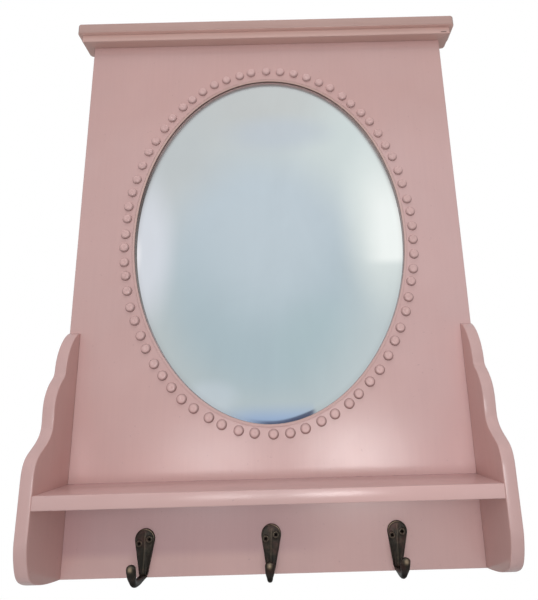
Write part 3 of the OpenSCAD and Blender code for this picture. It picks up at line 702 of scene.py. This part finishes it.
def make_hook(i):
    bm = bmesh.new()
    wear, painted_shade = bm.verts.layers.float.new("wear"), bm.verts.layers.float.new("painted_shade")
    outline = taper(HEAD_R, FOOT_R, HOOK_DROP)
    m = len(outline)
    steps = [0.0, 0.2, 0.45, 0.7, 0.95, 1.2, 1.5, 2.0, 2.6, 3.3, 4.0, 4.7, 5.4, 6.1, 6.8, 7.5, 8.2, 8.9, 9.5]
    rings = []
    for s in steps:
        ring = []
        for x, z in outline:
            cz = min(0.0, max(-HOOK_DROP, z))
            r = math.hypot(x, z - cz)
            inset = s * r / HEAD_R if s > 1.5 else min(s, 0.9 * r)
            f = max(0.02, 1 - inset / r)
            px, pz = x * f, cz + (z - cz) * f
            v = bm.verts.new(Vector((px, -plate_height(px, pz, inset), pz)) * MM)
            # painted highlight on the rim's crest, strongest at each hook's given angle, and faintly along the ridge
            turn = math.cos(math.atan2(z, x) - math.radians(RIM_HIGHLIGHT_DEG[i]))
            v[wear] = (0.85 * math.exp(-((inset - 0.80) / 0.26) ** 2) * max(0.0, turn) ** 3
                       + 0.06 * math.exp(-(px / 0.55) ** 2) * ease((7.5 - pz) / 3))
            # painted shade in the groove inside the rim, round the screws, beside the lower ridge and at the foot on
            # the board
            near = min(math.hypot(px - sx, pz - sz) for sx, sz in SCREWS)
            v[painted_shade] = min(1.0, 0.5 * math.exp(-((inset - 1.45) / 0.35) ** 2) + 0.3 * math.exp(-((near - 3.3) / 0.3) ** 2)
                          + 0.35 * math.exp(-((abs(px) - 1.9) / 0.6) ** 2) * ease((-pz - 6) / 6) + (0.4 if s == 0 else 0.0))
            ring.append(v)
        rings.append(ring)
    rings.insert(0, [bm.verts.new(Vector((x, 0.0, z)) * MM) for x, z in outline])
    for lo, hi in zip(rings, rings[1:]):
        for j in range(m):
            bm.faces.new((lo[j], lo[(j + 1) % m], hi[(j + 1) % m], hi[j]))
    bmesh.ops.contextual_create(bm, geom=rings[-1])
    bm.faces.new(list(reversed(rings[0])))

    # prong: an oval section that leaves the foot of the ridge, runs out and up, and ends in a spoon-shaped knob.
    # Points are depth from the board and height from the middle of the head.
    path = []
    path += curve([(0.8, -33.2), (3.5, -33.2), (5.5, -33.1), (8.5, -33.0)], 12)
    path += curve([(8.5, -33.0), (13.0, -33.1), (19.0, -32.8), (25.0, -31.5)], 12)
    path += curve([(25.0, -31.5), (30.0, -30.4), (34.2, -26.5), (36.5, -21.3)], 12)
    path += curve([(36.5, -21.3), (37.7, -18.7), (38.2, -16.5), (38.3, -14.4)], 14)
    path += [(38.3, -14.4)]
    wide = [(0, 3.7), (0.07, 3.5), (0.15, 3.0), (0.25, 2.7), (0.36, 2.6), (0.55, 2.6), (0.64, 2.9), (0.80, 4.2), (0.88, 4.5), (1, 4.5)]
    thick = [(0, 1.8), (0.07, 2.1), (0.15, 2.9), (0.25, 3.4), (0.36, 3.5), (0.48, 3.5), (0.62, 3.2), (0.75, 2.3), (0.9, 1.6), (1, 1.5)]
    run = [0.0]
    for p, q in zip(path, path[1:]):
        run.append(run[-1] + math.hypot(q[0] - p[0], q[1] - p[1]))
    seg, loops = 24, []
    for k, (d, z) in enumerate(path):
        a, b = path[max(0, k - 1)], path[min(len(path) - 1, k + 1)]
        td, tz = b[0] - a[0], b[1] - a[1]
        ln = math.hypot(td, tz)
        nd, nz = -tz / ln, td / ln
        f = run[k] / run[-1]
        w, th = along(wide, f), along(thick, f)
        if f > 0.93:
            g = (f - 0.93) / 0.07
            e = math.sqrt(max(0.0, 1 - 0.97 * g * g))
            w, th = w * e, th * e ** 0.6
        shift = (0.0, 1.1, -0.5)[i] * d / 38
        lift = (2.6, 0.9, 1.3)[i] * max(0.0, (z + 32) / 18) if d > 20 else 0.0
        loop = []
        for j in range(seg):
            t = 2 * math.pi * j / seg
            cx, cy = math.cos(t), math.sin(t)
            px = w * math.copysign(abs(cx) ** 0.8, cx)
            pn = th * math.copysign(abs(cy) ** 0.8, cy)
            v = bm.verts.new(Vector((px + shift, -(d + nd * pn), z + lift + nz * pn)) * MM)
            outer = max(0.0, -cy)
            # worn brass and a painted highlight on the front of the knob
            v[wear] = (1.0, 0.85, 0.75)[i] * outer * math.exp(-((f - 0.93) / 0.035) ** 2) * math.exp(-((px + (0.8, 0.2, -0.9)[i]) / 1.6) ** 2)
            # painted shade along the prong, strongest on its underside, fading out at the root and before the knob
            v[painted_shade] = 0.95 * ease((0.86 - f) / 0.2) * (0.7 + 0.3 * outer) * ease((f - 0.04) / 0.12)
            loop.append(v)
        loops.append(loop)
    for lo, hi in zip(loops, loops[1:]):
        for j in range(seg):
            bm.faces.new((lo[j], lo[(j + 1) % seg], hi[(j + 1) % seg], hi[j]))
    bm.faces.new(list(reversed(loops[0])))
    bm.faces.new(loops[-1])
    bm.transform(hook_matrix(i))
    name = ("left_hook", "middle_hook", "right_hook")[i]
    return finish_mesh(bm, name + "_cast", "bronzed_metal", replaced=[name], smooth_angle=65)


def make_hook_screws():
    """Six countersunk wood screws with a cross recess, a little proud of the casting."""
    bm = bmesh.new()
    wear, painted_shade = bm.verts.layers.float.new("wear"), bm.verts.layers.float.new("painted_shade")
    seg = 48
    for i in range(3):
        for k, (sx, sz) in enumerate(SCREWS):
            place = hook_matrix(i) @ Matrix.Translation(Vector((sx, 0, sz)) * MM) @ Matrix.Rotation(math.radians(23 + 41 * i + 67 * k), 4, "Y")
            first = len(bm.verts)
            rings = []
            # tip, shank, countersink, rim, then the dished top with its recess
            for r, h, top in ((0.15, -11.2, 0), (1.35, -9.0, 0), (1.45, -3.0, 0), (1.5, 0.6, 0), (2.95, 2.25, 0), (3.05, 2.4, 0), (3.0, 2.52, 0),
                              (2.8, 2.59, 1), (2.4, 2.60, 1), (2.0, 2.58, 1), (1.75, 2.56, 1), (1.5, 2.54, 1), (1.25, 2.52, 1), (1.0, 2.5, 1),
                              (0.75, 2.5, 1), (0.5, 2.5, 1), (0.25, 2.5, 1)):
                ring = []
                for j in range(seg):
                    a = 2 * math.pi * j / seg
                    x, z = r * math.cos(a), r * math.sin(a)
                    sunk = 0.0
                    if top:
                        arm = min(abs(x), abs(z))
                        sunk = 1.9 * (1 - ease((arm - 0.34) / 0.22)) * (1 - ease((r - 1.35) / 0.4))
                        sunk = max(sunk, 1.9 * (1 - ease((r - 0.70) / 0.35)))
                    v = bm.verts.new(place @ (Vector((x, -(h - sunk), z)) * MM))
                    # a painted highlight ring on the head, and painted shade in the cross recess and at the rim
                    v[wear] = 0.14 * math.exp(-((r - 2.6) / 0.3) ** 2) if h > 2.3 else 0.0
                    v[painted_shade] = max(min(1.0, sunk / 0.7), 0.35 * math.exp(-((r - 3.05) / 0.12) ** 2)) if h > 2.3 else 0.0
                    ring.append(v)
                rings.append(ring)
            for lo, hi in zip(rings, rings[1:]):
                for j in range(seg):
                    bm.faces.new((lo[j], lo[(j + 1) % seg], hi[(j + 1) % seg], hi[j]))
            bm.faces.new(rings[-1])
            bm.faces.new(list(reversed(rings[0])))
    return finish_mesh(bm, "hook_screws_cross", "bronzed_metal", replaced=["hook_screws"], smooth_angle=50)


for side in (-1, 1):
    make_bracket(side)
make_shelf()
make_cornice_board()
for side in (-1, 0, 1):
    make_moulding(side)
make_beads()
for i in range(3):
    make_hook(i)
make_hook_screws()


# ---------------------------------------------------------------------------
# Floor, room and light
def make_floor():
    bm = bmesh.new()
    bmesh.ops.create_circle(bm, cap_ends=True, radius=2.4, segments=96)
    me = bpy.data.meshes.new("floor")
    bm.to_mesh(me)
    bm.free()
    mat = bpy.data.materials.new("floor")
    mat.use_nodes = True
    t = Tree(mat.node_tree)
    co = t.n("ShaderNodeTexCoord").outputs["Object"]
    colour = t.ramp(t.noise(co, 3.0, 3.0, 0.5), [(0.35, 0.80), (0.65, 0.84)])
    bsdf = t.n("ShaderNodeBsdfPrincipled", ins={"Base Color": colour, "Roughness": 0.7})
    # it runs out into the white of the studio towards its rim, and its glow lights nothing
    far = t.n("ShaderNodeVectorMath", operation="LENGTH", ins={0: co}).outputs["Value"]
    fade = t.times(t.step(far, 0.3, 2.3, 0.42, 1.0), t.n("ShaderNodeLightPath").outputs["Is Camera Ray"])
    white = t.n("ShaderNodeEmission")
    mixed = t.n("ShaderNodeMixShader", ins={0: fade, 1: bsdf.outputs[0], 2: white.outputs[0]})
    out = t.n("ShaderNodeOutputMaterial")
    t.t.links.new(mixed.outputs[0], out.inputs[0])
    me.materials.append(mat)
    obj = bpy.data.objects.new("floor", me)
    scene.collection.objects.link(obj)
    obj.location = (0, 0, -1.6)


def seen(r, g, b, k=1.0):
    """The room's colour that shows in the glass as this one."""
    return tuple(k * v / w for v, w in zip(lin(r, g, b), GLASS))


def make_world():
    """A white studio, with a soft pale room for the glass to show and even light all round."""
    world = bpy.data.worlds.new("studio")
    scene.world = world
    world.use_nodes = True
    world.cycles.sampling_method = "NONE"   # diffuse rays get the even light, glossy rays the room
    t = Tree(world.node_tree)
    d = t.n("ShaderNodeTexCoord").outputs["Generated"]
    x, y, z = t.n("ShaderNodeSeparateXYZ", ins={0: d}).outputs
    ahead = t.math("MAXIMUM", t.math("MULTIPLY", y, -1.0), 0.08)
    u = t.math("DIVIDE", x, ahead)     # sideways and up on a wall one metre in front of the glass
    v = t.math("DIVIDE", z, ahead)
    # the same wall in half widths and half heights of what the glass shows of it from the front
    p = t.math("ADD", t.math("MULTIPLY", u, 3.2485), 0.1838)
    q = t.math("ADD", t.math("MULTIPLY", v, 2.4188), -0.9234)

    def away(cp, cq, rp, rq, power=2.0, of=(p, q)):
        a = t.math("POWER", t.math("ABSOLUTE", t.math("DIVIDE", t.math("SUBTRACT", of[0], cp), rp)), power)
        b = t.math("POWER", t.math("ABSOLUTE", t.math("DIVIDE", t.math("SUBTRACT", of[1], cq), rq)), power)
        return t.math("POWER", t.math("ADD", a, b), 1 / power)

    def blob(cp, cq, rp, rq, soft=0.35, of=(p, q)):
        """1 inside an oval, falling to 0 outside it."""
        return t.step(away(cp, cq, rp, rq, of=of), 1 - soft, 1 + soft, 1.0, 0.0)

    side = t.step(p, -0.8, 0.8)
    high = t.mix(side, seen(191, 197, 199), seen(208, 218, 218))
    low = t.mix(side, seen(184, 192, 193), seen(188, 199, 202))
    room = t.mix(t.step(q, -0.7, 0.4), low, high)
    room = t.mix(t.math("MULTIPLY", blob(-0.05, 0.95, 0.55, 0.32, 0.6), 0.8), room, seen(193, 196, 196))
    # the middle of the room is bluish and a little dimmer, and has no outline
    warp = t.math("MULTIPLY", t.math("SUBTRACT", t.noise(d, 6.0, 2.0, 0.5), 0.5), 0.12)
    r = t.math("ADD", away(-0.05, -0.20, 0.76, 0.74), warp)
    inner = t.mix(t.step(q, -0.7, 0.45), seen(170, 187, 194), seen(188, 200, 209))
    inner = t.mix(t.math("MULTIPLY", blob(-0.02, 0.05, 0.45, 0.42, 0.6), 0.7), inner, seen(191, 203, 211))
    inner = t.mix(t.math("MULTIPLY", blob(0.36, -0.62, 0.30, 0.24, 0.5), 0.6), inner, seen(172, 191, 196))
    room = t.mix(t.step(r, 0.66, 1.22, 1.0, 0.0), room, inner)
    room = t.mix(t.math("MULTIPLY", blob(0.08, 0.66, 0.36, 0.10, 0.6), 0.6), room, seen(188, 198, 209))
    # pale glow on the left, window on the right, pale and blue things low down
    room = t.mix(t.math("MULTIPLY", blob(-0.92, -0.05, 0.17, 0.36, 0.6), 0.62), room, seen(223, 226, 236))
    room = t.mix(t.math("MULTIPLY", blob(-1.0, -0.085, 0.026, 0.075, 1.3), 0.98), room, seen(250, 250, 253))
    room = t.mix(t.math("MULTIPLY", blob(0.86, 0.12, 0.24, 0.42, 0.6), 0.75), room, seen(226, 233, 231))
    pane = t.times(t.step(p, 0.66, 0.88), t.step(p, 1.25, 1.5, 1.0, 0.0), t.step(q, -0.18, -0.12), t.step(q, 0.14, 0.5, 1.0, 0.0))
    room = t.mix(pane, room, seen(240, 245, 243))
    room = t.mix(t.math("MULTIPLY", blob(-0.42, -0.86, 0.17, 0.08, 0.5), 0.4), room, seen(201, 211, 221))
    sill = t.times(t.step(p, -0.5, -0.1), t.step(p, 0.27, 0.31, 1.0, 0.0))
    room = t.mix(t.times(sill, t.step(q, -1.00, -0.88, 1.0, 0.0)), room, seen(150, 173, 205))
    rim = t.math("SQRT", t.math("ADD", t.math("MULTIPLY", p, p), t.math("MULTIPLY", q, q)))
    rim = t.math("ADD", rim, t.step(p, 0.0, 0.28, 0.0, 0.010))
    shade = t.times(sill, t.step(p, -0.2, 0.0), t.step(rim, 0.982, 0.990), t.step(q, -0.90, -0.85, 1.0, 0.0))
    room = t.mix(t.math("MULTIPLY", shade, 0.95), room, seen(58, 60, 88))
    # from under the glass's view on, plain again
    room = t.mix(t.step(q, -1.12, -1.05, 1.0, 0.0), room, seen(196, 204, 202))
    cloud = t.noise(d, 5.0, 4.0, 0.6, 0.5)
    room = t.mix(1.0, room, t.ramp(cloud, [(0.35, 0.985), (0.65, 1.015)]), "MULTIPLY")
    even = t.mix(t.step(z, -0.8, 0.8), AMBIENT_LOW, AMBIENT_HIGH)
    even = t.mix(t.step(y, 0.05, 0.5), even, AMBIENT_BACK)
    lp = t.n("ShaderNodeLightPath")
    soft = t.mix(lp.outputs["Is Diffuse Ray"], room, even)
    shown = t.mix(lp.outputs["Is Camera Ray"], soft, (1.0, 1.0, 1.0))
    bg = t.n("ShaderNodeBackground", ins={"Color": shown})
    bg.inputs["Strength"].default_value = 1.0
    out = t.n("ShaderNodeOutputWorld")
    t.t.links.new(bg.outputs[0], out.inputs[0])


def area(name, at, to, w, h, power, sheen=False):
    """A soft lamp. One that gives the paint its sheen is seen in glossy surfaces and lights nothing; the others the other way
    round, so that the glass shows the room and not the lamps."""
    light = bpy.data.lights.new(name, "AREA")
    light.shape = "ELLIPSE" if sheen else "RECTANGLE"
    light.size, light.size_y = w, h
    light.energy = power
    obj = bpy.data.objects.new(name, light)
    scene.collection.objects.link(obj)
    obj.location = at
    obj.rotation_euler = (Vector(to) - Vector(at)).to_track_quat("-Z", "Y").to_euler()
    obj.visible_glossy, obj.visible_diffuse, obj.visible_camera = sheen, not sheen, False
    return obj


AMBIENT_LOW, AMBIENT_HIGH, AMBIENT_BACK = (0.15, 0.15, 0.15), (0.25, 0.25, 0.25), (0.55, 0.55, 0.55)
make_floor()
make_world()
area("low_front", (0.05, -1.15, -0.40), (0.0, 0.0, -0.40), 0.5, 0.5, 5.0)
area("high_front", (0.0, -1.3, 0.35), (0.0, 0.0, -0.26), 1.2, 0.8, 3.9)
area("above", (0.0, -0.7, 1.1), (0.0, 0.0, -0.26), 1.0, 0.6, 6.3)
area("left", (-1.1, -0.9, -0.2), (0.0, 0.0, -0.26), 0.8, 1.0, 1.45)
area("behind", (-0.7, 1.3, 0.55), (0.0, 0.0, -0.26), 0.9, 0.9, 11.0)
area("sheen_left", (-0.35, -1.6, -0.635), (-0.35, 0.0, -0.635), 0.42, 0.26, 1.9, sheen=True)
area("sheen_right", (0.27, -1.6, -0.635), (0.27, 0.0, -0.635), 0.44, 0.26, 3.4, sheen=True)
